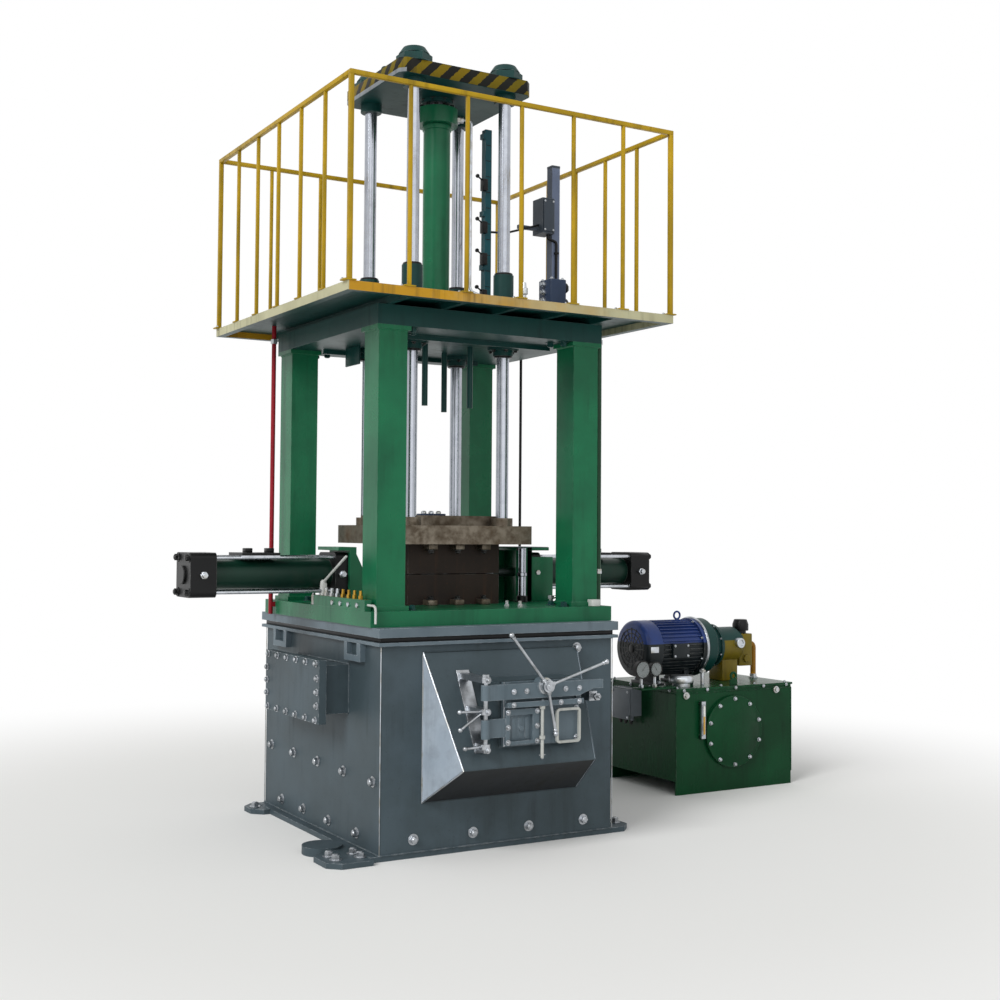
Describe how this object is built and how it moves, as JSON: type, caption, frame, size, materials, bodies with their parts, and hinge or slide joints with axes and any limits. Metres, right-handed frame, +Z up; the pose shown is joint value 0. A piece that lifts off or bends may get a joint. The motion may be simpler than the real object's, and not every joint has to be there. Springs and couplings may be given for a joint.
{
  "type": "low pressure die casting machine",
  "caption": "Low pressure die casting machine: holding furnace with charging door under a four column press, railed service deck, core cylinders and hydraulic power unit.",
  "frame": {"origin": "on the floor, under the centre of the holding furnace", "axes": "+X to the right along the charging side, +Y to the back, +Z up"},
  "size_m": [4.388, 2.257, 4.636],
  "materials": {
    "furnace_grey": "satin grey paint on welded plate",
    "flange_grey": "satin light grey paint",
    "hopper_grey": "satin grey paint with bare edges",
    "bright_steel": "bare machined steel",
    "press_green": "gloss green enamel",
    "dark_green": "dark green enamel",
    "deck_yellow": "yellow enamel edge, green underside",
    "rail_yellow": "yellow enamel",
    "chrome_rod": "hard chrome, ground",
    "hazard": "black and yellow diagonal stripes",
    "platen_steel": "oiled machined plate",
    "die_steel": "heat darkened tool steel",
    "cylinder_black": "black enamel",
    "brass_fitting": "brass and zinc plated fittings",
    "teal_bar": "teal enamel",
    "valve_grey": "cast aluminium",
    "pipe_red": "red enamel",
    "tank_green": "gloss dark green enamel",
    "gauge": "clear tube in a metal frame",
    "motor_blue": "blue enamel",
    "pump_olive": "olive yellow enamel"
  },
  "bodies": {
    "machine": {"furnace_body": "furnace_grey", "furnace_flange": "flange_grey", "charging_hopper": "hopper_grey", "door_mounts": "bright_steel", "lid_clamps": "flange_grey", "side_housing": "flange_grey", "press_bed": "press_green", "columns": "press_green", "crosshead": "dark_green", "deck": "deck_yellow", "railing_front": "rail_yellow", "railing_back": "rail_yellow", "railing_left": "rail_yellow", "railing_right": "rail_yellow", "guide_bushes": "dark_green", "lift_cylinder": "press_green", "lower_die": "die_steel", "knockout_bars": "dark_green", "core_bracket_left": "press_green", "core_cylinder_left": "cylinder_black", "core_bracket_right": "press_green", "core_cylinder_right": "cylinder_black", "fitting_manifold": "brass_fitting", "scale_bar": "teal_bar", "valve_block": "valve_grey", "control_post": "valve_grey", "supply_pipes": "pipe_red", "oil_tank": "tank_green", "tank_cover": "tank_green", "sight_gauge": "gauge", "pump_motor": "motor_blue", "bell_housing": "tank_green", "oil_pump": "pump_olive", "tank_fittings": "bright_steel", "terminal_box": "flange_grey"},
    "press": {"lift_rod": "chrome_rod", "top_plate": "hazard", "guide_rods": "chrome_rod", "rod_nuts": "dark_green", "moving_platen": "platen_steel", "upper_die": "die_steel"},
    "core_left": {"core_slide_left": "bright_steel"},
    "core_right": {"core_slide_right": "bright_steel"},
    "door": {"charging_door": "hopper_grey"},
    "star": {"star_handle": "bright_steel"}
  },
  "joints": [
    {"name": "platen_lift", "type": "slide", "parent": "machine", "child": "press", "axis": [0, 0, 1], "range_m": [0, 0.6]},
    {"name": "core_left_pull", "type": "slide", "parent": "machine", "child": "core_left", "axis": [-1, 0, 0], "range_m": [0, 0.12]},
    {"name": "core_right_pull", "type": "slide", "parent": "machine", "child": "core_right", "axis": [1, 0, 0], "range_m": [0, 0.12]},
    {"name": "door_swing", "type": "hinge", "parent": "machine", "child": "door", "pos_m": [-0.29, -1.155, 0.8], "axis": [0, 0, -1], "range_deg": [0, 110]},
    {"name": "star_turn", "type": "hinge", "parent": "door", "child": "star", "pos_m": [0.066, -1.2, 0.926], "axis": [0, -1, 0], "range_deg": [0, 120]}
  ]
}
